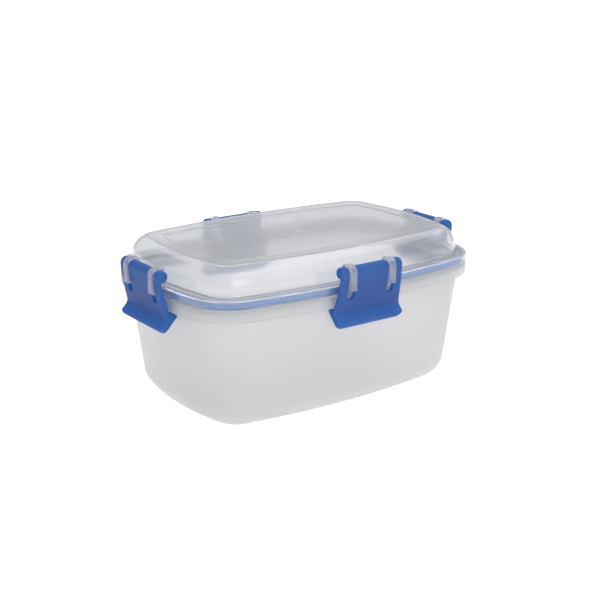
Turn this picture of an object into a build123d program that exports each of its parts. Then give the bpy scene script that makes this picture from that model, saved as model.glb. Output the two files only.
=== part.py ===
from build123d import *
import os
from math import cos, hypot, radians, sin, tan

# Snap lid food container: tub, domed lid, seal gasket and four hinged side clips.
#
# Frame: +Z up, origin at the centre of the foot ring's underside, X along the length,
# front towards -Y.  All lengths are in millimetres.
#
# Sections round the rim are given as (s, z): s is the distance outwards from the rim's
# outer edge, and z is the height above the parting plane between tub and lid.

# ---- driving dimensions -------------------------------------------------------------
RIM_LENGTH = 204.0          # rim's outer size along X
RIM_WIDTH = 135.0           # rim's outer size along Y
RIM_CORNER = 26.0           # rim's outer corner radius in plan
END_BOW = 12.8              # degrees the short sides turn between middle and corner
SIDE_BOW = 8.8              # degrees the long sides turn between middle and corner
PARTING_Z = 76.5            # height of the parting plane above the table

# tub
TUB_WALL = 1.5
TUB_FLOOR = 1.8
TUB_TOP_INSET = 4.2         # wall's outer face inside the rim edge, at the parting plane
TUB_BASE_INSET_X = 13.0     # the same at table height, on the short sides
TUB_BASE_INSET_Y = 10.0     # the same at table height, on the long sides
TUB_CORNER = 21.8           # wall's outer corner radius in plan
TUB_BASE_FILLET = 16.0
UPSTAND_TOP = 2.6           # rim upstand that stands inside the gasket
FLANGE_TOP = -0.5
FLANGE_THICK = 1.9
FLANGE_ROUND = 0.4          # outer edge of the flange's top
COLLAR_BOTTOM = -8.2        # lower edge of the skirt that the clips hook under
COLLAR_THICK = 1.6
COLLAR_ROUND = 0.6          # lower edges of the collar
FOOT_RING_INSET = 22.0      # recess in the base, measured in from the wall at table height
FOOT_RECESS = 0.8
FOOT_RECESS_TAPER = 30.0    # degrees

# lid
SKIRT_BOTTOM = 0.5
SKIRT_THICK = 1.3
SKIRT_ROUND = 0.3           # lower edge of the skirt
LEDGE_TOP = 5.1             # flat ledge between skirt and dome
LEDGE_THICK = 1.2
LEDGE_ROUND = 0.9           # outer edge of the ledge
DOME_INSET = 6.6            # dome's foot inside the rim edge
DOME_WALL = 1.2
DOME_DRAFT = 3.0            # degrees
DOME_FILLET = 13.0
DOME_APEX = 21.3            # where the rounded side would level out
CREST_Z = 20.8              # crest round the lid's top
CREST_FLAT = 0.5            # width of the level crest
DISH_INSET = 25.0           # the top falls gently from the crest to here
DISH_DROP = 0.5
PANEL_INSET = 26.0
PANEL_CORNER = 7.0
PANEL_DROP = 0.6
PANEL_TAPER = 45.0          # degrees, the step down to the panel leans outwards
LID_TOP_THICK = 1.3
PLUG_BOTTOM = -4.0          # wall that locates the lid inside the tub
GATE_R = 1.2
GATE_HEIGHT = 0.35
OVERLAP = 0.2               # how far added solids reach into the wall under them

# gasket
GASKET_OUTER = 1.5
GASKET_INNER = 3.9
GASKET_GAP = 0.05
GASKET_ROUND = 0.5

# clips and their hinges
TAB_WIDTH = 47.2            # across the finger tab and the hook
CLIP_TOP_WIDTH = 43.2       # across the knuckles
WIDEST_Z = -11.0
PIVOT_S = 3.4
PIVOT_Z = 12.9
KNUCKLE_R = 3.4             # round ends of the clip's top edge
MIDDLE_KNUCKLE_R = 3.1
BAR_R = 1.9                 # hinge bar across each slot
BAR_CLEARANCE = 0.08
SLOT_CENTRE = 14.1
SLOT_WIDTH = 4.8
SLOT_BOTTOM = -2.9
CHEEK_INNER = SLOT_CENTRE + SLOT_WIDTH / 2
PLATE_THICK = 2.2
RIB_WIDTH = 4.2
TAB_CORNER = 4.0            # lower corners of the finger tab, in its own sloping plane
TOP_CORNER = 2.0
SLOT_ROUND = 0.8
WEDGE_RECESS = 0.5          # the wedge's ends lie a little inside the plate's ends
RIB_NOSE_ROUND = 4.2        # outer top corner of a hinge rib
RIB_TOP_ROUND = 2.0         # inner top corner of a hinge rib

# points of the clip's side profile
FRONT_TOP = (7.0, 12.4)     # the leaning front face, from its top to the crease
FRONT_MIDDLE = (5.3, 1.0)
CREASE = (2.3, -11.3)       # where the finger tab leaves the plate
TAB_END = (6.1, -15.6)      # where the tab's rounded lip starts
LIP = (6.8, -17.3)          # outermost point of the lip
HEEL = (5.0, -19.4)         # lowest point of the lip

# ---- plan outlines ------------------------------------------------------------------


def bowed_outline(half_length, half_width, corner):
    """Closed outline of eight tangent arcs: four bowed sides and four round corners.

    The sides always turn through END_BOW and SIDE_BOW, so outlines of different size
    meet each other along straight rulings.
    """
    end = radians(END_BOW)
    side = radians(SIDE_BOW)
    p = tan(end / 2)
    q = tan(side / 2)
    u = (half_length - corner - p * (half_width - corner)) / (1 - p * q)
    v = half_width - corner - q * u
    end_joint = (u + corner * cos(end), v + corner * sin(end))
    side_joint = (u + corner * sin(side), v + corner * cos(side))
    middle_turn = (end + radians(90) - side) / 2
    corner_mid = (u + corner * cos(middle_turn), v + corner * sin(middle_turn))

    def mirrored(point, sx, sy):
        return (point[0] * sx, point[1] * sy)

    edges = []
    for sx, sy in ((1, 1), (-1, 1), (-1, -1), (1, -1)):
        points = [mirrored(pt, sx, sy) for pt in (end_joint, corner_mid, side_joint)]
        edges.append(ThreePointArc(*points))
    for sx in (1, -1):
        edges.append(ThreePointArc(mirrored(end_joint, sx, 1), (sx * half_length, 0),
                                   mirrored(end_joint, sx, -1)))
    for sy in (1, -1):
        edges.append(ThreePointArc(mirrored(side_joint, 1, sy), (0, sy * half_width),
                                   mirrored(side_joint, -1, sy)))
    return make_face(Curve() + edges)


def rim_outline(inset, corner=None):
    """The rim's outline, moved inwards by inset."""
    if corner is None:
        corner = RIM_CORNER - inset
    return bowed_outline(RIM_LENGTH / 2 - inset, RIM_WIDTH / 2 - inset, corner)


def rim_slab(inset, low, high, taper=0.0):
    """Solid inside the rim outline moved inwards by inset, between two heights."""
    base = Pos(0, 0, PARTING_Z + low) * rim_outline(inset)
    return extrude(base, amount=high - low, taper=taper)


def rim_band(outer, inner, low, high):
    """Band that follows the rim between two insets and two heights."""
    return rim_slab(outer, low, high) - rim_slab(inner, low - 1, high + 1)


def edges_at(solid, height):
    """Edges that lie wholly in the horizontal plane at a height."""
    close = 1e-3
    found = []
    for edge in solid.edges():
        box = edge.bounding_box()
        if abs(box.min.Z - height) < close and abs(box.max.Z - height) < close:
            found.append(edge)
    return found


# ---- tub ----------------------------------------------------------------------------


def tub_bowl(shrink, floor_z, top_z):
    """Tapered bowl with a large round at its foot.

    shrink moves every face inwards, so the same function gives the bowl's outside and
    the space inside it.
    """
    fall = (PARTING_Z - floor_z) / PARTING_Z
    low_x = TUB_TOP_INSET + (TUB_BASE_INSET_X - TUB_TOP_INSET) * fall + shrink
    low_y = TUB_TOP_INSET + (TUB_BASE_INSET_Y - TUB_TOP_INSET) * fall + shrink
    rise = (top_z - PARTING_Z) / PARTING_Z
    high_x = TUB_TOP_INSET - (TUB_BASE_INSET_X - TUB_TOP_INSET) * rise + shrink
    high_y = TUB_TOP_INSET - (TUB_BASE_INSET_Y - TUB_TOP_INSET) * rise + shrink
    corner = TUB_CORNER - shrink
    low = bowed_outline(RIM_LENGTH / 2 - low_x, RIM_WIDTH / 2 - low_y, corner)
    high = bowed_outline(RIM_LENGTH / 2 - high_x, RIM_WIDTH / 2 - high_y, corner)
    bowl = loft([Pos(0, 0, floor_z) * low, Pos(0, 0, top_z) * high], ruled=True)
    return fillet(edges_at(bowl, floor_z), TUB_BASE_FILLET - shrink)


def make_tub():
    flange_low = FLANGE_TOP - FLANGE_THICK
    tub = tub_bowl(0.0, 0.0, PARTING_Z + flange_low + OVERLAP)
    collar = rim_slab(0, COLLAR_BOTTOM, FLANGE_TOP)
    collar = fillet(edges_at(collar, PARTING_Z + FLANGE_TOP), FLANGE_ROUND)
    collar -= rim_slab(COLLAR_THICK, COLLAR_BOTTOM - 1, flange_low)
    collar = fillet(edges_at(collar, PARTING_Z + COLLAR_BOTTOM), COLLAR_ROUND)
    tub += collar
    tub += rim_slab(TUB_TOP_INSET, flange_low, UPSTAND_TOP)
    tub -= tub_bowl(TUB_WALL, TUB_FLOOR, PARTING_Z + UPSTAND_TOP + 1)
    recess = bowed_outline(RIM_LENGTH / 2 - TUB_BASE_INSET_X - FOOT_RING_INSET,
                           RIM_WIDTH / 2 - TUB_BASE_INSET_Y - FOOT_RING_INSET,
                           TUB_CORNER / 2)
    tub -= extrude(recess, amount=FOOT_RECESS, taper=FOOT_RECESS_TAPER)
    return tub


# ---- lid ----------------------------------------------------------------------------


def dome(inset, drop, low):
    """Rounded dome with a crest round its top and a dished panel inside the crest.

    inset moves the sides inwards and drop lowers the top, so the same function gives
    the dome's outside and its hollow.
    """
    apex = DOME_APEX - drop
    crest = CREST_Z - drop
    body = rim_slab(DOME_INSET + inset, LEDGE_TOP, apex, taper=DOME_DRAFT)
    body = fillet(edges_at(body, PARTING_Z + apex), DOME_FILLET - inset)
    body = split(body, Plane.XY.offset(PARTING_Z + crest), keep=Keep.BOTTOM)
    body += rim_slab(DOME_INSET + inset, low, LEDGE_TOP)
    top_face = body.faces().sort_by(Axis.Z)[-1]
    crest_box = top_face.bounding_box()
    crest_inset = (RIM_LENGTH - crest_box.size.X) / 2 + CREST_FLAT
    dish = loft([Pos(0, 0, PARTING_Z + crest) * rim_outline(crest_inset),
                 Pos(0, 0, PARTING_Z + crest - DISH_DROP)
                 * rim_outline(DISH_INSET, PANEL_CORNER)], ruled=True)
    body -= dish
    panel_z = crest - DISH_DROP - PANEL_DROP
    panel = rim_outline(PANEL_INSET, PANEL_CORNER)
    panel = extrude(Pos(0, 0, PARTING_Z + panel_z) * panel, amount=PANEL_DROP + 1,
                    taper=-PANEL_TAPER)
    body -= panel
    return body


def clip_plane(x):
    """Plane of a clip's side profile: its first axis is s and its second is z."""
    return Plane(origin=(x, 0, 0), x_dir=(0, 1, 0), z_dir=(1, 0, 0))


def profile_slab(face, low, high):
    """Extrude a side profile along the clip's width from x = low to x = high."""
    return extrude(clip_plane(low) * face, amount=high - low)


def on_each_side():
    """Name and placement of each of the four sides, for things built as a back clip."""
    half_length = RIM_LENGTH / 2
    half_width = RIM_WIDTH / 2
    return {
        "front": Location((0, -half_width, PARTING_Z), (0, 0, 180)),
        "back": Location((0, half_width, PARTING_Z), (0, 0, 0)),
        "left": Location((-half_length, 0, PARTING_Z), (0, 0, 90)),
        "right": Location((half_length, 0, PARTING_Z), (0, 0, -90)),
    }


def hinge_rib():
    """One hinge rib of the lid: a web from the skirt and a C that snaps over the bar."""
    outline = Polyline((-1.1, SKIRT_BOTTOM + 0.1), (1.0, SKIRT_BOTTOM + 0.1), (7.7, 2.4),
                       (7.7, 17.0), (-0.7, 17.0), (-1.5, 12.0), (-1.5, LEDGE_TOP - 0.3),
                       (-1.1, LEDGE_TOP - 0.3), close=True)
    rib = make_face(outline)
    rib = fillet(rib.vertices().sort_by(Axis.Y)[-2:].sort_by(Axis.X)[-1], RIB_NOSE_ROUND)
    rib = fillet(rib.vertices().sort_by(Axis.Y)[-2:].sort_by(Axis.X)[0], RIB_TOP_ROUND)
    rib -= Pos(PIVOT_S, PIVOT_Z) * Circle(BAR_R + BAR_CLEARANCE)
    mouth = Polyline((0, 0), (-6.4, 2.3), (-6.4, -5.3), (-2.8, -5.3), (-0.8, -2.9), close=True)
    rib -= Pos(PIVOT_S, PIVOT_Z) * make_face(mouth)
    half = RIB_WIDTH / 2
    return profile_slab(rib, SLOT_CENTRE - half, SLOT_CENTRE + half)


def make_lid():
    skirt = rim_slab(0, SKIRT_BOTTOM, LEDGE_TOP)
    skirt = fillet(edges_at(skirt, PARTING_Z + LEDGE_TOP), LEDGE_ROUND)
    skirt = fillet(edges_at(skirt, PARTING_Z + SKIRT_BOTTOM), SKIRT_ROUND)
    lid = skirt + dome(0, 0, PLUG_BOTTOM)
    lid -= dome(DOME_WALL, LID_TOP_THICK, PLUG_BOTTOM - 1)
    lid -= rim_band(SKIRT_THICK, DOME_INSET, SKIRT_BOTTOM - 1, LEDGE_TOP - LEDGE_THICK)
    gate_z = PARTING_Z + CREST_Z - DISH_DROP - PANEL_DROP - OVERLAP
    lid += Pos(0, 0, gate_z) * extrude(Circle(GATE_R), amount=GATE_HEIGHT + OVERLAP)
    rib = hinge_rib()
    for place in on_each_side().values():
        lid += place * rib
        lid += place * mirror(rib, Plane.YZ)
    return lid


# ---- gasket -------------------------------------------------------------------------


def make_gasket():
    low = FLANGE_TOP + GASKET_GAP
    high = LEDGE_TOP - LEDGE_THICK
    ring = rim_band(GASKET_OUTER, GASKET_INNER, low, high)
    return fillet(edges_at(ring, PARTING_Z + low), GASKET_ROUND)


# ---- clips --------------------------------------------------------------------------


def plate_profile(inner, knuckle_r):
    """Side profile of the leaning plate with a knuckle at its top.

    inner lists the points of the plate's inner side, from the foot up.
    """
    front = ThreePointArc(FRONT_TOP, FRONT_MIDDLE, CREASE)
    rest = Polyline(CREASE, (4.4, -18.8), (1.5, -16.4), *inner, (PIVOT_S, PIVOT_Z),
                    (PIVOT_S + 2.2, PIVOT_Z + 1.9), (PIVOT_S + 3.3, PIVOT_Z + 1.0), FRONT_TOP)
    plate = make_face(Curve() + [front, rest])
    return plate + Pos(PIVOT_S, PIVOT_Z) * Circle(knuckle_r)


def cheek_profile():
    """The clip's ends, where the plate is deep."""
    return plate_profile([(0.5, -8.1), (4.2, 9.3)], KNUCKLE_R)


def middle_profile():
    """The clip between its ends, where the plate is thin."""
    t = PLATE_THICK
    inner = [(2.9 - t, -8.4), (FRONT_MIDDLE[0] - t, FRONT_MIDDLE[1]), (6.9 - t, 10.5)]
    return plate_profile(inner, MIDDLE_KNUCKLE_R)


def wedge_profile():
    """Side profile of the wedge: the hook under the collar and the finger tab."""
    tab_front = Spline(TAB_END, (4.0, -13.9), CREASE)
    back = Polyline(CREASE, (2.9, -8.5), (0.5, -8.5), (-3.6, -9.4), (-4.6, -10.4),
                    (3.4, -19.1), HEEL)
    lip = ThreePointArc(HEEL, LIP, TAB_END)
    return make_face(Curve() + [tab_front, back, lip])


def clip_silhouette():
    """Front view of the clip: it widens a little downwards and has two open slots."""
    foot = HEEL[1] - 0.5
    top = PIVOT_Z + KNUCKLE_R
    outer = make_face(Polyline((-TAB_WIDTH / 2, foot), (TAB_WIDTH / 2, foot),
                               (TAB_WIDTH / 2, WIDEST_Z), (CLIP_TOP_WIDTH / 2, top),
                               (-CLIP_TOP_WIDTH / 2, top), (-TAB_WIDTH / 2, WIDEST_Z),
                               close=True))
    height = top + 1 - SLOT_BOTTOM
    for x in (-SLOT_CENTRE, SLOT_CENTRE):
        outer -= Pos(x, SLOT_BOTTOM + height / 2) * Rectangle(SLOT_WIDTH, height)
    outer = fillet(outer.vertices().group_by(Axis.Y)[-1], TOP_CORNER)
    slot_floor = [v for v in outer.vertices() if abs(v.Y - SLOT_BOTTOM) < 0.01]
    return fillet(slot_floor, SLOT_ROUND)


def tab_view():
    """Solid with the clip's outline as seen square to the finger tab's slope."""
    run = LIP[0] - CREASE[0]
    fall = CREASE[1] - LIP[1]
    slope = Plane(origin=(0, *CREASE), x_dir=(1, 0, 0), z_dir=(0, -fall, -run))
    length = (run * (HEEL[0] - CREASE[0]) + fall * (CREASE[1] - HEEL[1])) / hypot(run, fall)
    above = 60.0
    view = Pos(0, (above - length) / 2) * Rectangle(TAB_WIDTH, above + length)
    view = fillet(view.vertices().group_by(Axis.Y)[0], TAB_CORNER)
    return extrude(slope * view, amount=40, both=True)


def make_clip():
    """One clip, built as the back one: x along its width, y outwards."""
    half = TAB_WIDTH / 2
    clip = profile_slab(middle_profile(), -CHEEK_INNER, CHEEK_INNER)
    for low, high in ((-half, -CHEEK_INNER), (CHEEK_INNER, half)):
        clip += profile_slab(cheek_profile(), low, high)
    clip += profile_slab(wedge_profile(), -half + WEDGE_RECESS, half - WEDGE_RECESS)
    clip &= extrude(Plane.XZ * clip_silhouette(), amount=20, both=True)
    clip &= tab_view()
    bar = Pos(PIVOT_S, PIVOT_Z) * Circle(BAR_R)
    clip += profile_slab(bar, -CHEEK_INNER - 1, CHEEK_INNER + 1)
    return clip


def main():
    os.makedirs("parts", exist_ok=True)
    nodes = {"tub": make_tub(), "lid": make_lid(), "seal_gasket": make_gasket()}
    clip = make_clip()
    for side, place in on_each_side().items():
        nodes["clip_" + side] = place * clip
    for name, shape in nodes.items():
        export_step(shape, "parts/" + name + ".step")
        box = shape.bounding_box()
        print(name, len(shape.solids()), round(shape.volume), box.min, box.max)


main()
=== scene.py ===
from math import asin, atan, ceil, cos, hypot, pi, radians, sin, sqrt, tan

import bmesh
import bpy
from mathutils import Matrix, Vector


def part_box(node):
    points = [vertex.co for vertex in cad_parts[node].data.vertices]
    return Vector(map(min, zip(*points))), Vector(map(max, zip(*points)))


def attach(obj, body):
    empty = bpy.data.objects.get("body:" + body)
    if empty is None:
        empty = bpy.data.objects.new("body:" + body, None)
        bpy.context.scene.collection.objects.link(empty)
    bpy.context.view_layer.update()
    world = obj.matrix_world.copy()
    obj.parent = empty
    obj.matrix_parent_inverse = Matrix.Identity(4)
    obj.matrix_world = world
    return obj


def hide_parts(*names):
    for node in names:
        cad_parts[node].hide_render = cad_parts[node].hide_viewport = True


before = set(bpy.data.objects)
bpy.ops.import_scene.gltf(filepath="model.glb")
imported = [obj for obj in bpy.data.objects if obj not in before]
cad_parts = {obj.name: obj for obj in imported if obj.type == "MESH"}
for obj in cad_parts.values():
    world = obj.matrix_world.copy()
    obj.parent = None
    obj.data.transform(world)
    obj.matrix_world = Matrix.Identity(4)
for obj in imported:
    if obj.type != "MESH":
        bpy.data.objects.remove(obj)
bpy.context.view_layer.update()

# Snap lid food container.  Lengths in the sections are millimetres and become metres when a
# mesh is made.  A section round the rim is given as (s, z): s is the distance outwards from
# the rim's outer edge, and z is the height above the parting plane between tub and lid.

MM = 0.001
tub_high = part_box("tub")[1]
lid_low, lid_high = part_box("lid")

# ---- driving dimensions, from the frame -----------------------------------------------
HALF_LENGTH = tub_high.x / MM
HALF_WIDTH = tub_high.y / MM
UPSTAND_TOP = 2.6
PARTING_Z = tub_high.z / MM - UPSTAND_TOP
CREST_Z = lid_high.z / MM - PARTING_Z
PLUG_BOTTOM = lid_low.z / MM - PARTING_Z

RIM_CORNER = 26.0
END_BOW = radians(12.8)
SIDE_BOW = radians(8.8)
END_STEPS, CORNER_STEPS, SIDE_STEPS = 6, 14, 8

# tub
TUB_WALL = 1.5
TUB_FLOOR = 1.8
TUB_TOP_INSET = 4.2
TUB_BASE_INSETS = (13.0, 10.0)
TUB_BASE_FILLET = 16.0
FLANGE_TOP = -0.5
FLANGE_LOW = -2.4
COLLAR_BOTTOM = -8.2
COLLAR_THICK = 1.6
FOOT_RING_INSET = 22.0
FOOT_RECESS = 0.8
FOOT_RECESS_LEAN = 0.46     # how far the recess's sides lean in over its depth

# lid
SKIRT_BOTTOM = 0.5
SKIRT_THICK = 1.3
LEDGE_TOP = 5.1
LEDGE_LOW = 3.9
DOME_INSET = 6.6
DOME_WALL = 1.2
DOME_DRAFT = radians(3.0)
DOME_ROUND = 13.0
DOME_APEX = CREST_Z + 0.5
LID_TOP_THICK = 1.3
PANEL_TOP_INSET = 25.0
PANEL_INSET = 26.0
PANEL_CORNER = 7.0
DISH_DROP = 0.5
PANEL_DROP = 0.6

# clips
PIVOT = (3.4, 12.9)
KNUCKLE_R = 3.4
MIDDLE_KNUCKLE_R = 3.1
BAR_R = 1.88
RIB_HOLE_R = 1.98
SLOT_CENTRE = 14.1
SLOT_WIDTH = 4.8
SLOT_BOTTOM = -2.9
RIB_WIDTH = 4.2
TAB_WIDTH = 47.1
CLIP_TOP_WIDTH = 43.2
WIDEST_Z = -11.0
PLATE_TOP = (7.0, 12.4)     # the leaning front face, down to the crease
PLATE_MIDDLE = (5.3, 1.0)
TAB_CREASE = (2.3, -11.3)   # where the finger tab leaves the plate
TAB_END = (6.1, -15.6)      # where the tab's rounded lip starts
TAB_LIP = (6.8, -17.3)      # outermost point of the lip
TAB_HEEL = (5.0, -19.4)     # lowest point of the lip
TAB_CORNER = 4.2
CHEEK_ROUND = 1.5
CLIP_VOXEL = 0.27           # grain that the clip's parts are merged at
CLIP_SHARE_KEPT = 0.4       # of the voxel mesh's faces


# ---- outlines and sections -----------------------------------------------------------
def turn_angles():
    """Directions of the outline's outward normals, the same for every outline."""
    stops = ((0, END_BOW, END_STEPS), (END_BOW, pi / 2 - SIDE_BOW, CORNER_STEPS),
             (pi / 2 - SIDE_BOW, pi / 2, SIDE_STEPS))
    quarter = [low + (high - low) * i / n for low, high, n in stops for i in range(n)]
    angles = []
    for turn in range(4):
        for angle in (quarter if turn % 2 == 0 else [pi / 2 - a for a in reversed(quarter)]):
            angles.append(turn * pi / 2 + angle)
    return angles


ANGLES = turn_angles()


def outline(inset_x, inset_y, corner, scale=1.0):
    """Points round an outline of eight tangent arcs, moved in from the rim's edge."""
    a = HALF_LENGTH - inset_x
    b = HALF_WIDTH - inset_y
    p = tan(END_BOW / 2)
    q = tan(SIDE_BOW / 2)
    u = (a - corner - p * (b - corner)) / (1 - p * q)
    v = b - corner - q * u
    end_r = corner + v / sin(END_BOW)
    side_r = corner + u / sin(SIDE_BOW)
    points = []
    for angle in ANGLES:
        c, s = abs(cos(angle)), abs(sin(angle))
        turn = asin(min(1.0, s))
        if turn < END_BOW:
            x, y = a - end_r + end_r * c, end_r * s
        elif turn < pi / 2 - SIDE_BOW:
            x, y = u + corner * c, v + corner * s
        else:
            x, y = side_r * c, b - side_r + side_r * s
        points.append((x * scale * (1 if cos(angle) > 0 else -1),
                       y * scale * (1 if sin(angle) >= 0 else -1)))
    return points


def rounded(corners, step=radians(14)):
    """Polyline through (s, z, radius) corners, with each corner rounded by an arc."""
    line = [corners[0][:2]]
    for (x0, z0, _), (x1, z1, r), (x2, z2, _) in zip(corners, corners[1:], corners[2:]):
        a = Vector((x0 - x1, z0 - z1)).normalized()
        b = Vector((x2 - x1, z2 - z1)).normalized()
        turn = pi - a.angle(b)
        if r <= 0 or turn < radians(1):
            line.append((x1, z1))
            continue
        reach = r * tan(turn / 2)
        middle = (a + b).normalized() * (r / cos(turn / 2))
        centre = Vector((x1, z1)) + middle
        start = Vector((x1, z1)) + a * reach - centre
        steps = max(2, ceil(turn / step))
        sign = 1 if a.x * b.y - a.y * b.x < 0 else -1
        for i in range(steps + 1):
            spoke = Matrix.Rotation(sign * turn * i / steps, 2) @ start
            line.append(tuple(centre + spoke))
    line.append(corners[-1][:2])
    return line


def arc(centre, radius, start, end, steps):
    """Points of an arc, with the angles measured from the outward s direction."""
    turns = [start + (end - start) * i / steps for i in range(steps + 1)]
    return [(centre[0] + radius * cos(t), centre[1] + radius * sin(t)) for t in turns]


def swept(name, rows, closed=False):
    """Mesh through rows of outline points, each row given as outline() takes it plus a height.

    An open sweep is closed at both its ends by a fan round a centre point.
    """
    bm = bmesh.new()
    rings = []
    for inset_x, inset_y, corner, z, scale in rows:
        height = (PARTING_Z + z) * MM
        rings.append([bm.verts.new((x * MM, y * MM, height))
                      for x, y in outline(inset_x, inset_y, corner, scale)])
    count = len(ANGLES)
    pairs = list(zip(rings, rings[1:]))
    if closed:
        pairs.append((rings[-1], rings[0]))
    for low, high in pairs:
        for i in range(count):
            j = (i + 1) % count
            bm.faces.new((low[i], low[j], high[j], high[i]))
    if not closed:
        for end in (rings[0], rings[-1]):
            centre = bm.verts.new((0, 0, end[0].co.z))
            for i in range(count):
                bm.faces.new((end[i], end[(i + 1) % count], centre))
    return finished(name, bm)


def finished(name, bm):
    """Object with a smooth-shaded mesh made of bm, its normals facing outwards."""
    bmesh.ops.recalc_face_normals(bm, faces=bm.faces)
    mesh = bpy.data.meshes.new(name)
    bm.to_mesh(mesh)
    bm.free()
    piece = bpy.data.objects.new(name, mesh)
    bpy.context.scene.collection.objects.link(piece)
    shade(piece)
    return piece


def shade(piece, angle=radians(38)):
    """Smooth shading between faces that meet at less than the angle."""
    piece.data.shade_smooth()
    piece.data.set_sharp_from_angle(angle=angle)


def flatten_shading(piece):
    """Keeps large level faces flat-shaded beside small rounded ones."""
    even = piece.modifiers.new("normals", "WEIGHTED_NORMAL")
    even.keep_sharp = True


def level_rows(inset, corner, z, shares=(0.3, 0.62, 0.85)):
    """Rows that fill a level face inside an outline, from its middle outwards."""
    return [(inset[0], inset[1], corner, z, share) for share in shares]


# ---- modifiers, applied ---------------------------------------------------------------
def applied(piece, name):
    """The piece with its modifiers applied, under a new name; the old object is removed."""
    graph = bpy.context.evaluated_depsgraph_get()
    mesh = bpy.data.meshes.new_from_object(piece.evaluated_get(graph), depsgraph=graph)
    mesh.name = name
    result = bpy.data.objects.new(name, mesh)
    bpy.context.scene.collection.objects.link(result)
    bpy.data.objects.remove(piece)
    return result


def combined(piece, other, operation, name):
    """Boolean of two objects; both are used up."""
    cut = piece.modifiers.new("cut", "BOOLEAN")
    cut.operation = operation
    cut.solver = "EXACT"
    cut.use_self = True
    cut.object = other
    result = applied(piece, name)
    bpy.data.objects.remove(other)
    return result


def joined(name, pieces):
    """One object with the meshes of several, each at its own place."""
    bm = bmesh.new()
    for piece in pieces:
        mesh = piece.data.copy()
        mesh.transform(piece.matrix_world)
        bm.from_mesh(mesh)
        bpy.data.objects.remove(piece)
    return finished(name, bm)


def inset_line(line, distance):
    """Closed line moved inwards by a small distance."""
    area = sum(a[0] * b[1] - b[0] * a[1] for a, b in zip(line, line[1:] + line[:1]))
    turn = 1 if area > 0 else -1
    moved = []
    for before, point, after in zip(line[-1:] + line[:-1], line, line[1:] + line[:1]):
        a = Vector((point[0] - before[0], point[1] - before[1])).normalized()
        b = Vector((after[0] - point[0], after[1] - point[1])).normalized()
        normal = Vector((-a.y - b.y, a.x + b.x)).normalized() * turn
        reach = distance / max(0.5, sqrt(max(0.0, (1 + a.dot(b)) / 2)))
        moved.append((point[0] + normal.x * reach, point[1] + normal.y * reach))
    return moved


def soft_prism(name, line, low, high, low_round=0.0, high_round=0.0):
    """Closed (s, z) line extruded across x, with its ends rounded over."""
    steps = 5
    turns = [pi / 2 * i / steps for i in range(steps + 1)]
    slices = [(low + low_round, 0.0), (high - high_round, 0.0)]
    if low_round:
        slices = [(low + low_round * (1 - cos(turn)), low_round * (1 - sin(turn)))
                  for turn in turns[:-1]] + slices
    if high_round:
        slices += [(high - high_round * (1 - sin(turn)), high_round * (1 - cos(turn)))
                   for turn in turns[1:]]
    bm = bmesh.new()
    rings = []
    for x, inset in slices:
        ring = inset_line(line, inset) if inset else line
        rings.append([bm.verts.new(Vector((x, s, z)) * MM) for s, z in ring])
    bm.faces.new(rings[0])
    bm.faces.new(reversed(rings[-1]))
    for near, far in zip(rings, rings[1:]):
        for i in range(len(line)):
            j = (i + 1) % len(line)
            bm.faces.new((near[j], near[i], far[i], far[j]))
    return finished(name, bm)


def prism(name, line, low, high, across="x"):
    """Closed line extruded from low to high.

    The line holds (s, z) points and runs across x, or (x, z) points and runs across s.
    """
    def placed(point, depth):
        if across == "x":
            return Vector((depth, point[0], point[1])) * MM
        return Vector((point[0], depth, point[1])) * MM

    bm = bmesh.new()
    near = [bm.verts.new(placed(p, low)) for p in line]
    far = [bm.verts.new(placed(p, high)) for p in line]
    bm.faces.new(near)
    bm.faces.new(reversed(far))
    for i in range(len(line)):
        j = (i + 1) % len(line)
        bm.faces.new((near[j], near[i], far[i], far[j]))
    return finished(name, bm)


def side_places():
    """Where each of the four sides is, for things built as on the back side."""
    def place(x, y, turn):
        at = Matrix.Translation(Vector((x, y, PARTING_Z)) * MM)
        return at @ Matrix.Rotation(radians(turn), 4, "Z")

    return {"front": place(0, -HALF_WIDTH, 180), "back": place(0, HALF_WIDTH, 0),
            "left": place(-HALF_LENGTH, 0, 90), "right": place(HALF_LENGTH, 0, -90)}


# ---- tub ------------------------------------------------------------------------------
def wall_row(z, shrink, floor):
    """Row of the tub's tapered wall at a height above the table, with the round at its foot."""
    insets = []
    rounding = 0.0
    radius = TUB_BASE_FILLET - shrink
    for base in TUB_BASE_INSETS:
        slope = (base - TUB_TOP_INSET) / PARTING_Z
        lean = atan(slope)
        straight = base - slope * z + shrink
        inset = straight
        if z < floor + radius * (1 - sin(lean)):
            centre = base - slope * (floor + radius) + shrink + radius / cos(lean)
            fall = floor + radius - z
            inset = centre - sqrt(max(0.0, radius * radius - fall * fall))
        insets.append(inset)
        rounding += (inset - straight) / 2
    corner = RIM_CORNER - TUB_TOP_INSET - shrink - rounding
    return (insets[0], insets[1], corner, z - PARTING_Z, 1.0)


def wall_rows(shrink, floor, top):
    """Rows of the tub's wall from its floor up to a height above the table."""
    radius = TUB_BASE_FILLET - shrink
    turns = [radians(7 * i) for i in range(12)]
    heights = [floor + radius * (1 - cos(turn)) for turn in turns]
    first = heights[-1]
    heights += [first + (top - first) * i / 8 for i in range(1, 9)]
    return [wall_row(z, shrink, floor) for z in heights]


def rim_rows(line):
    """Rows for a section line that follows the rim at even distances."""
    return [(-s, -s, RIM_CORNER + s, z, 1.0) for s, z in line]


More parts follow.
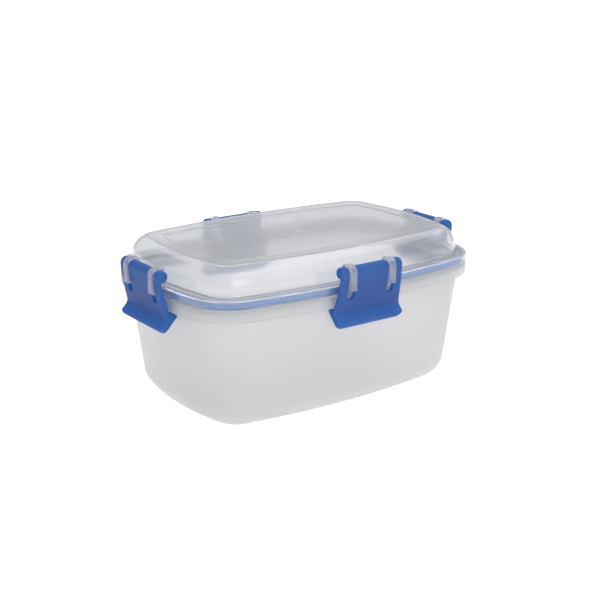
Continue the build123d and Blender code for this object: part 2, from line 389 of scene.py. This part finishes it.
def make_tub():
    recess_x = TUB_BASE_INSETS[0] + FOOT_RING_INSET
    recess_y = TUB_BASE_INSETS[1] + FOOT_RING_INSET
    recess_corner = (RIM_CORNER - TUB_TOP_INSET) / 2
    top_x = recess_x + FOOT_RECESS_LEAN
    top_y = recess_y + FOOT_RECESS_LEAN
    top_corner = recess_corner - FOOT_RECESS_LEAN
    floor = -PARTING_Z
    rows = level_rows((top_x, top_y), top_corner, floor + FOOT_RECESS)
    rows.append((top_x, top_y, top_corner, floor + FOOT_RECESS, 1.0))
    rows.append((recess_x, recess_y, recess_corner, floor, 1.0))
    rows += wall_rows(0.0, 0.0, PARTING_Z + COLLAR_BOTTOM)
    low_inner = TUB_TOP_INSET + TUB_WALL
    collar = rounded([
        (-TUB_TOP_INSET - 0.6, COLLAR_BOTTOM + 1, 0), (-TUB_TOP_INSET - 0.2, FLANGE_LOW, 1.2),
        (-COLLAR_THICK, FLANGE_LOW, 1.0), (-COLLAR_THICK + 0.1, COLLAR_BOTTOM, 0.6),
        (0, COLLAR_BOTTOM, 0.7), (0, FLANGE_TOP, 0.5), (-TUB_TOP_INSET, FLANGE_TOP, 0.4),
        (-TUB_TOP_INSET, UPSTAND_TOP, 0.6), (-low_inner, UPSTAND_TOP, 0.6), (-low_inner, -1.0, 0)])
    rows += rim_rows(collar)
    inner = wall_rows(TUB_WALL, TUB_FLOOR, PARTING_Z - 2.0)
    rows += reversed(inner)
    lowest = inner[0]
    rows += reversed(level_rows(lowest[:2], lowest[2], lowest[3]))
    tub = swept("tub_shell", rows)
    flatten_shading(tub)
    return tub


# ---- lid ------------------------------------------------------------------------------
def lid_corner(inset):
    """Corner radius of the lid's outlines: even down to the crest, then tightening."""
    crest = 16.0
    if inset <= crest:
        return RIM_CORNER - inset
    share = min(1.0, (inset - crest) / (PANEL_TOP_INSET - crest))
    return (RIM_CORNER - crest) * (1 - share) + PANEL_CORNER * share


def dome_line(shrink, drop):
    """Half section of the dome from the panel's edge down its side to its foot.

    shrink moves the side inwards and drop lowers the top, for the hollow side.
    """
    radius = DOME_ROUND - shrink
    apex = DOME_APEX - drop
    crest = CREST_Z - drop
    foot = DOME_INSET + shrink
    centre = (-(foot + (apex - radius - LEDGE_TOP) * tan(DOME_DRAFT) + radius / cos(DOME_DRAFT)),
              apex - radius)
    top_turn = asin((crest - centre[1]) / radius)
    side = arc(centre, radius, top_turn, DOME_DRAFT, 10)
    crest_s, crest_z = side[0]
    soft = 3.0 if shrink == 0 else 1.8
    entry = side[1]
    panel = crest - DISH_DROP - PANEL_DROP
    top = rounded([
        (-PANEL_INSET - 2, panel, 0), (-PANEL_INSET, panel, 1.8),
        (-PANEL_TOP_INSET, panel + PANEL_DROP, 1.8), (crest_s, crest_z, soft), (*entry, 0)])
    return top[:-1] + side[1:]


def lid_rows(line):
    return [(-s, -s, lid_corner(-s), z, 1.0) for s, z in line]


def lid_shell():
    outer = dome_line(0.0, 0.0)
    inner = dome_line(DOME_WALL, LID_TOP_THICK)
    rim = rounded([
        (outer[-1][0], outer[-1][1], 0), (-DOME_INSET, LEDGE_TOP, 0.9), (0, LEDGE_TOP, 1.0),
        (0, SKIRT_BOTTOM, 0.35), (-SKIRT_THICK, SKIRT_BOTTOM, 0.35),
        (-SKIRT_THICK, LEDGE_LOW, 0.4), (-DOME_INSET, LEDGE_LOW, 0.5),
        (-DOME_INSET, PLUG_BOTTOM, 0.4), (-DOME_INSET - DOME_WALL, PLUG_BOTTOM, 0.4),
        (-DOME_INSET - DOME_WALL, LEDGE_TOP, 2.0), (inner[-1][0], inner[-1][1], 0)])
    line = outer + rim[1:-1] + inner[::-1]
    first, last = line[0], line[-1]
    rows = level_rows((-first[0], -first[0]), lid_corner(-first[0]), first[1])
    rows += lid_rows(line)
    rows += reversed(level_rows((-last[0], -last[0]), lid_corner(-last[0]), last[1]))
    return swept("lid_shell", rows)


def hinge_rib(x):
    """Hinge rib: a web from the skirt with a C at its top that snaps over the clip's bar."""
    half = RIB_WIDTH / 2
    line = rounded([
        (-0.9, 2.0, 0), (-0.9, SKIRT_BOTTOM + 0.15, 0), (1.0, SKIRT_BOTTOM + 0.15, 0.3),
        (7.65, 2.4, 0.8), (7.65, 16.95, 4.2), (-0.7, 16.95, 2.0), (-1.45, 12.0, 0.5),
        (-1.45, LEDGE_TOP - 0.3, 0.0), (-0.9, LEDGE_TOP - 0.3, 0), (-0.9, 2.0, 0)],
        step=radians(9))
    rib = prism("rib", line[:-1], x - half, x + half)
    hole = prism("hole", arc(PIVOT, RIB_HOLE_R, 0, 2 * pi, 40)[:-1], x - 4, x + 4)
    rib = combined(rib, hole, "DIFFERENCE", "rib")
    mouth = ((0, 0, 0), (-6.4, 2.3, 0), (-6.4, -5.3, 0),
             (-2.8, -5.3, 0.4), (-0.8, -2.9, 0), (0, 0, 0))
    mouth = rounded([(PIVOT[0] + s, PIVOT[1] + z, r) for s, z, r in mouth])
    mouth = prism("mouth", mouth[:-1], x - 4, x + 4)
    rib = combined(rib, mouth, "DIFFERENCE", "rib")
    soft = rib.modifiers.new("soft", "BEVEL")
    soft.width = 0.35 * MM
    soft.segments = 2
    soft.limit_method = "ANGLE"
    soft.angle_limit = radians(50)
    return applied(rib, "rib")


def make_lid():
    lid = lid_shell()
    gate = [(r, z) for r, z in ((0.0, 0.42), (0.9, 0.4), (1.5, 0.28), (2.0, 0.0), (2.0, -0.3))]
    panel_z = CREST_Z - DISH_DROP - PANEL_DROP
    lid = combined(lid, turned("gate", gate, panel_z), "UNION", "lid_shell")
    rib = hinge_rib(0)
    ribs = []
    for place in side_places().values():
        for x in (-SLOT_CENTRE, SLOT_CENTRE):
            ribs.append(bpy.data.objects.new("rib", rib.data.copy()))
            ribs[-1].data.transform(place @ Matrix.Translation(Vector((x, 0, 0)) * MM))
    bpy.data.objects.remove(rib)
    lid = combined(lid, joined("ribs", ribs), "UNION", "lid_shell")
    shade(lid)
    flatten_shading(lid)
    return lid


def turned(name, profile, base):
    """Solid of revolution round the Z axis from (radius, height) points, top first."""
    count = 32
    bm = bmesh.new()
    top = bm.verts.new((0, 0, (PARTING_Z + base + profile[0][1]) * MM))
    rings = []
    for r, z in profile[1:]:
        height = (PARTING_Z + base + z) * MM
        rings.append([bm.verts.new((r * MM * cos(2 * pi * i / count),
                                    r * MM * sin(2 * pi * i / count), height))
                      for i in range(count)])
    for i in range(count):
        j = (i + 1) % count
        bm.faces.new((top, rings[0][i], rings[0][j]))
        for low, high in zip(rings, rings[1:]):
            bm.faces.new((low[i], high[i], high[j], low[j]))
    bm.faces.new(rings[-1])
    return finished(name, bm)


# ---- gasket ---------------------------------------------------------------------------
def make_gasket():
    line = rounded([
        (-2.7, 3.8, 0), (-1.6, 3.8, 0.7), (-1.6, -0.4, 0.9), (-3.8, -0.4, 0.9), (-3.8, 3.8, 0.7),
        (-2.7, 3.8, 0)])
    return swept("gasket_ring", rim_rows(line[:-1]), closed=True)


# ---- clips ----------------------------------------------------------------------------
def curve_through(start, middle, end, steps):
    """Points of the arc through three points, without its last point."""
    (ax, ay), (bx, by), (cx, cy) = start, middle, end
    d = 2 * (ax * (by - cy) + bx * (cy - ay) + cx * (ay - by))
    a2, b2, c2 = ax * ax + ay * ay, bx * bx + by * by, cx * cx + cy * cy
    x = (a2 * (by - cy) + b2 * (cy - ay) + c2 * (ay - by)) / d
    y = (a2 * (cx - bx) + b2 * (ax - cx) + c2 * (bx - ax)) / d
    first = Vector((ax - x, ay - y))
    last = Vector((cx - x, cy - y))
    sweep = -first.angle_signed(last)
    return [(x + spoke.x, y + spoke.y)
            for spoke in (Matrix.Rotation(sweep * i / steps, 2) @ first for i in range(steps))]


def plate_line(inner):
    """Outline of the leaning plate; inner lists its inner side from the foot up."""
    line = curve_through(PLATE_TOP, PLATE_MIDDLE, TAB_CREASE, 14)
    return line + [TAB_CREASE, (4.4, -18.6), (1.5, -16.2), *inner, PIVOT,
                   (PIVOT[0] + 2.2, PIVOT[1] + 1.9), (PIVOT[0] + 3.3, PIVOT[1] + 1.0)]


def clip_silhouette():
    """Front view that cuts the clip's two open slots and rounds the corners of its fingers."""
    foot, top = -21.0, PIVOT[1] + KNUCKLE_R
    half = CLIP_TOP_WIDTH / 2 + 0.2
    slot_in, slot_out = SLOT_CENTRE - SLOT_WIDTH / 2, SLOT_CENTRE + SLOT_WIDTH / 2
    right = [(0, foot, 0), (half + 2.0, foot, 0), (half + 2.0, 0, 0), (half, top - 4.0, 0),
             (half, top, 2.2), (slot_out, top, 2.0), (slot_out, SLOT_BOTTOM, 0.8),
             (slot_in, SLOT_BOTTOM, 0.8), (slot_in, top, 2.0)]
    left = [(-x, z, r) for x, z, r in reversed(right[1:])]
    line = rounded(right + left + [(0, foot, 0)], step=radians(10))
    return prism("silhouette", line[:-1], -12, 20, across="s")


def tab_silhouette():
    """Outline of the finger tab seen square to its slope, with round lower corners."""
    half = TAB_WIDTH / 2 + 0.1
    run, fall = TAB_LIP[0] - TAB_CREASE[0], TAB_CREASE[1] - TAB_LIP[1]
    reach = hypot(run, fall) + 0.3
    line = rounded([(0, -reach, 0), (half, -reach, TAB_CORNER), (half, 60, 0), (-half, 60, 0),
                    (-half, -reach, TAB_CORNER), (0, -reach, 0)], step=radians(10))
    cutter = prism("tab_silhouette", line[:-1], -40, 40, across="s")
    cutter.data.transform(Matrix.Translation(Vector((0, *TAB_CREASE)) * MM)
                          @ Matrix.Rotation(atan(run / fall), 4, "X"))
    return cutter


def narrowed(piece):
    """Leans the clip's outer ends inwards above its widest place."""
    lean = (TAB_WIDTH - CLIP_TOP_WIDTH) / 2 / (PIVOT[1] + KNUCKLE_R - WIDEST_Z)
    for vertex in piece.data.vertices:
        x, _, z = vertex.co / MM
        if abs(x) > SLOT_CENTRE + SLOT_WIDTH and z > WIDEST_Z:
            shift = (z - WIDEST_Z) * lean
            vertex.co.x -= shift * MM * (1 if x > 0 else -1)
    return piece


def make_clip(name):
    """One clip, built as the back one."""
    half = TAB_WIDTH / 2
    cheek_x = SLOT_CENTRE + SLOT_WIDTH / 2
    cheek = plate_line([(0.5, -8.1), (4.2, 9.3)])
    middle = plate_line([(0.7, -8.4), (3.1, 1.0), (4.7, 10.5)])
    tab = curve_through(TAB_HEEL, TAB_LIP, TAB_END, 8)
    tab += curve_through(TAB_END, (4.1, -13.8), TAB_CREASE, 8)
    wedge = tab + [TAB_CREASE, (2.9, -8.5), (0.5, -8.5), (-3.6, -9.4), (-4.6, -10.4),
                   (3.4, -19.1)]
    thin = arc(PIVOT, MIDDLE_KNUCKLE_R, 0, 2 * pi, 48)[:-1]
    thick = arc(PIVOT, KNUCKLE_R, 0, 2 * pi, 48)[:-1]
    blocks = [soft_prism("plate", middle, -cheek_x, cheek_x),
              soft_prism("knuckle", thin, -cheek_x, cheek_x),
              soft_prism("wedge", wedge, -half + 0.2, half - 0.2, 0.7, 0.7)]
    for line in (cheek, thick):
        blocks.append(soft_prism("cheek", line, cheek_x - 0.3, half, 0.0, CHEEK_ROUND))
        blocks.append(soft_prism("cheek", line, -half, 0.3 - cheek_x, CHEEK_ROUND, 0.0))
    blocks = [narrowed(block) for block in blocks]
    for silhouette in (clip_silhouette, tab_silhouette):
        blocks = [combined(block, silhouette(), "INTERSECT", "block") for block in blocks]
    bar = arc(PIVOT, BAR_R, 0, 2 * pi, 40)
    blocks.append(soft_prism("bar", bar[:-1], -cheek_x - 1, cheek_x + 1))
    clip = joined("clip", blocks)
    even = clip.modifiers.new("even", "REMESH")
    even.mode = "VOXEL"
    even.voxel_size = CLIP_VOXEL * MM
    soft = clip.modifiers.new("soft", "SMOOTH")
    soft.factor = 0.5
    soft.iterations = 5
    lighter = clip.modifiers.new("lighter", "DECIMATE")
    lighter.ratio = CLIP_SHARE_KEPT
    clip = applied(clip, name)
    clip.data.shade_smooth()
    return clip


# ---- materials ------------------------------------------------------------------------
def material(name):
    """New node material with its Principled shader, and a function that adds a node."""
    made = bpy.data.materials.new(name)
    made.use_nodes = True
    nodes = made.node_tree.nodes
    shader = nodes["Principled BSDF"]

    def add(kind, **values):
        node = nodes.new(kind)
        for key, value in values.items():
            if key in node.inputs:
                node.inputs[key].default_value = value
            else:
                setattr(node, key, value)
        return node

    return made, shader, add


def link(made, source, target):
    made.node_tree.links.new(source, target)


def ramp(made, add, source, low, high):
    """Colour ramp between two colours, driven by a source value."""
    node = add("ShaderNodeValToRGB")
    node.color_ramp.elements[0].position = 0.3
    node.color_ramp.elements[1].position = 0.7
    node.color_ramp.elements[0].color = (*low, 1)
    node.color_ramp.elements[1].color = (*high, 1)
    link(made, source, node.inputs["Fac"])
    return node.outputs["Color"]


def spread(made, add, source, low, high):
    """Value mapped from 0.3..0.7 of a noise to low..high."""
    node = add("ShaderNodeMapRange")
    node.inputs["From Min"].default_value = 0.3
    node.inputs["From Max"].default_value = 0.7
    node.inputs["To Min"].default_value = low
    node.inputs["To Max"].default_value = high
    link(made, source, node.inputs["Value"])
    return node.outputs["Result"]


def noise(made, add, scale, detail=2.0):
    """Noise in the row frame's metres, so a scale of 1000 gives grains of a millimetre."""
    place = add("ShaderNodeTexCoord")
    node = add("ShaderNodeTexNoise")
    node.inputs["Scale"].default_value = scale
    node.inputs["Detail"].default_value = detail
    link(made, place.outputs["Object"], node.inputs["Vector"])
    return node.outputs["Fac"]


def bump(made, add, height, distance, strength=1.0):
    node = add("ShaderNodeBump")
    node.inputs["Strength"].default_value = strength
    node.inputs["Distance"].default_value = distance
    link(made, height, node.inputs["Height"])
    return node.outputs["Normal"]


def outside_rim(made, add):
    """1 on what stands out past the rim's edge, which is the lid's hinge ribs, and 0 inside."""
    place = add("ShaderNodeTexCoord")
    size = add("ShaderNodeVectorMath", operation="ABSOLUTE")
    past = add("ShaderNodeVectorMath", operation="SUBTRACT")
    past.inputs[1].default_value = (HALF_LENGTH * MM, HALF_WIDTH * MM, 1.0)
    parts = add("ShaderNodeSeparateXYZ")
    most = add("ShaderNodeMath", operation="MAXIMUM")
    mask = add("ShaderNodeMapRange")
    mask.inputs["From Max"].default_value = 1.0 * MM
    link(made, place.outputs["Object"], size.inputs[0])
    link(made, size.outputs["Vector"], past.inputs[0])
    link(made, past.outputs["Vector"], parts.inputs["Vector"])
    link(made, parts.outputs["X"], most.inputs[0])
    link(made, parts.outputs["Y"], most.inputs[1])
    link(made, most.outputs["Value"], mask.inputs["Value"])
    return mask.outputs["Result"]


def raised(made, add, value, mask, rise):
    """A value, or an output, that is higher by rise where the mask is 1."""
    node = add("ShaderNodeMath", operation="MULTIPLY_ADD")
    link(made, mask, node.inputs[0])
    node.inputs[1].default_value = rise
    if isinstance(value, float):
        node.inputs[2].default_value = value
    else:
        link(made, value, node.inputs[2])
    return node.outputs["Value"]


def milky(made, shader, add, source, low, high, share):
    """Mixes the shader with light that scatters through from behind; returns the share's socket."""
    behind = add("ShaderNodeBsdfTranslucent")
    link(made, ramp(made, add, source, low, high), behind.inputs["Color"])
    mixed = add("ShaderNodeMixShader")
    mixed.inputs["Fac"].default_value = share
    link(made, shader.outputs["BSDF"], mixed.inputs[1])
    link(made, behind.outputs["BSDF"], mixed.inputs[2])
    link(made, mixed.outputs["Shader"], made.node_tree.nodes["Material Output"].inputs["Surface"])
    return mixed.inputs["Fac"]


def clip_plastic():
    """Blue moulded polypropylene: satin, with a fine spark-eroded grain."""
    made, shader, add = material("clip_plastic")
    broad = noise(made, add, 90.0)
    grain = noise(made, add, 2600.0, 3.0)
    link(made, ramp(made, add, broad, (0.053, 0.104, 0.295), (0.061, 0.115, 0.325)),
         shader.inputs["Base Color"])
    link(made, spread(made, add, broad, 0.36, 0.44), shader.inputs["Roughness"])
    link(made, bump(made, add, grain, 0.00003, 0.35), shader.inputs["Normal"])
    shader.inputs["IOR"].default_value = 1.49
    shader.inputs["Specular IOR Level"].default_value = 0.3
    milky(made, shader, add, broad, (0.015, 0.50, 1.0), (0.025, 0.54, 1.0), 0.46)
    return made


def gasket_rubber():
    """Soft blue silicone with a satin skin."""
    made, shader, add = material("gasket_rubber")
    broad = noise(made, add, 140.0)
    link(made, ramp(made, add, broad, (0.045, 0.35, 0.84), (0.060, 0.38, 0.88)),
         shader.inputs["Base Color"])
    link(made, spread(made, add, broad, 0.45, 0.55), shader.inputs["Roughness"])
    grain = noise(made, add, 1800.0)
    link(made, bump(made, add, grain, 0.00002, 0.3), shader.inputs["Normal"])
    shader.inputs["IOR"].default_value = 1.42
    milky(made, shader, add, broad, (0.10, 0.56, 0.98), (0.12, 0.60, 1.0), 0.5)
    return made


def clear_lid():
    """Clear polypropylene, a little milky, with the faint waviness of a moulded skin."""
    made, shader, add = material("clear_lid")
    broad = noise(made, add, 35.0)
    link(made, ramp(made, add, broad, (0.912, 0.927, 0.952), (0.930, 0.942, 0.965)),
         shader.inputs["Base Color"])
    ribs = outside_rim(made, add)
    skin = spread(made, add, broad, 0.06, 0.10)
    link(made, raised(made, add, skin, ribs, 0.25), shader.inputs["Roughness"])
    wave = noise(made, add, 120.0)
    link(made, bump(made, add, wave, 0.0002, 0.2), shader.inputs["Normal"])
    shader.inputs["IOR"].default_value = 1.49
    shader.inputs["Transmission Weight"].default_value = 0.90
    shader.inputs["Specular IOR Level"].default_value = 0.15
    shader.inputs["Coat Weight"].default_value = 0.3
    shader.inputs["Coat Roughness"].default_value = 0.32
    haze = milky(made, shader, add, broad, (0.88, 0.885, 0.91), (0.91, 0.915, 0.935), 0.08)
    link(made, raised(made, add, 0.08, ribs, 0.2), haze)
    return made


def frosted_tub():
    """Frosted polypropylene: light passes, shapes behind it only just show."""
    made, shader, add = material("frosted_tub")
    broad = noise(made, add, 22.0)
    link(made, ramp(made, add, broad, (0.90, 0.898, 0.905), (0.92, 0.918, 0.925)),
         shader.inputs["Base Color"])
    link(made, spread(made, add, broad, 0.36, 0.44), shader.inputs["Roughness"])
    grain = noise(made, add, 1500.0)
    link(made, bump(made, add, grain, 0.00003, 0.3), shader.inputs["Normal"])
    shader.inputs["IOR"].default_value = 1.49
    shader.inputs["Transmission Weight"].default_value = 0.85
    shader.inputs["Sheen Weight"].default_value = 0.2
    shader.inputs["Sheen Roughness"].default_value = 0.3
    milky(made, shader, add, broad, (0.90, 0.898, 0.905), (0.92, 0.918, 0.925), 0.12)
    return made


def floor_material():
    made, shader, add = material("pale_floor")
    broad = noise(made, add, 3.0)
    link(made, ramp(made, add, broad, (0.40, 0.40, 0.40), (0.42, 0.42, 0.42)),
         shader.inputs["Base Color"])
    shader.inputs["Emission Color"].default_value = (1.0, 1.0, 1.0, 1.0)
    shader.inputs["Emission Strength"].default_value = 0.85
    shader.inputs["Roughness"].default_value = 0.9
    shader.inputs["Specular IOR Level"].default_value = 0.0
    return made


# ---- studio ---------------------------------------------------------------------------
CAMERA_PLACE = (-0.41908, -0.58145, 0.27448)
CAMERA_TARGET = (0.00200, -0.00145, 0.05238)
CAMERA_ROLL = radians(0.25)
FOCAL_LENGTH = 72.84        # millimetres, on a sensor 36 mm wide


def make_camera():
    data = bpy.data.cameras.new("camera")
    data.lens = FOCAL_LENGTH
    data.sensor_width = 36.0
    camera = bpy.data.objects.new("camera", data)
    bpy.context.scene.collection.objects.link(camera)
    place = Vector(CAMERA_PLACE)
    target = Vector(CAMERA_TARGET)
    turn = (target - place).to_track_quat("-Z", "Y").to_matrix()
    roll = Matrix.Rotation(CAMERA_ROLL, 3, "Z")
    camera.matrix_world = Matrix.Translation(place) @ (turn @ roll).to_4x4()
    bpy.context.scene.camera = camera


def soft_box(name, place, size, watts):
    """Square area light that faces the object."""
    data = bpy.data.lights.new(name, "AREA")
    data.size = size
    data.energy = watts
    light = bpy.data.objects.new(name, data)
    bpy.context.scene.collection.objects.link(light)
    target = Vector((0, 0, 0.05))
    light.location = place
    light.rotation_mode = "QUATERNION"
    light.rotation_quaternion = (target - Vector(place)).to_track_quat("-Z", "Y")


def make_studio():
    soft_box("key", (-0.10, -1.18, 0.50), 0.8, 4.0)
    soft_box("front", (0.3, -1.5, 1.1), 1.8, 4.5)
    soft_box("top", (0.15, 0.2, 1.4), 2.4, 21.5)
    world = bpy.data.worlds.new("studio")
    world.use_nodes = True
    sky = world.node_tree.nodes["Background"]
    sky.inputs["Color"].default_value = (1.0, 1.0, 1.0, 1.0)
    sky.inputs["Strength"].default_value = 0.50
    bpy.context.scene.world = world
    bpy.context.scene.view_settings.view_transform = "Standard"
    bm = bmesh.new()
    bmesh.ops.create_grid(bm, x_segments=8, y_segments=8, size=30.0)
    floor = finished("floor", bm)
    floor.location.z = -0.0002
    floor.data.materials.append(floor_material())


# ---- the object -----------------------------------------------------------------------
def place_piece(piece, body, node, look):
    """Gives a piece its material in a slot, puts it under its body, and hides the CAD node it
    stands for.
    """
    piece.data.materials.clear()
    piece.data.materials.append(look)
    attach(piece, body)
    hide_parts(node)


def main():
    make_camera()
    make_studio()
    place_piece(make_tub(), "tub", "tub", frosted_tub())
    place_piece(make_lid(), "lid", "lid", clear_lid())
    place_piece(make_gasket(), "lid", "seal_gasket", gasket_rubber())
    blue = clip_plastic()
    first = make_clip("clip_pattern")
    for side, place in side_places().items():
        clip = bpy.data.objects.new("hinged_clip_" + side, first.data.copy())
        clip.data.transform(place)
        bpy.context.scene.collection.objects.link(clip)
        place_piece(clip, "clip_" + side, "clip_" + side, blue)
    bpy.data.objects.remove(first)


main()
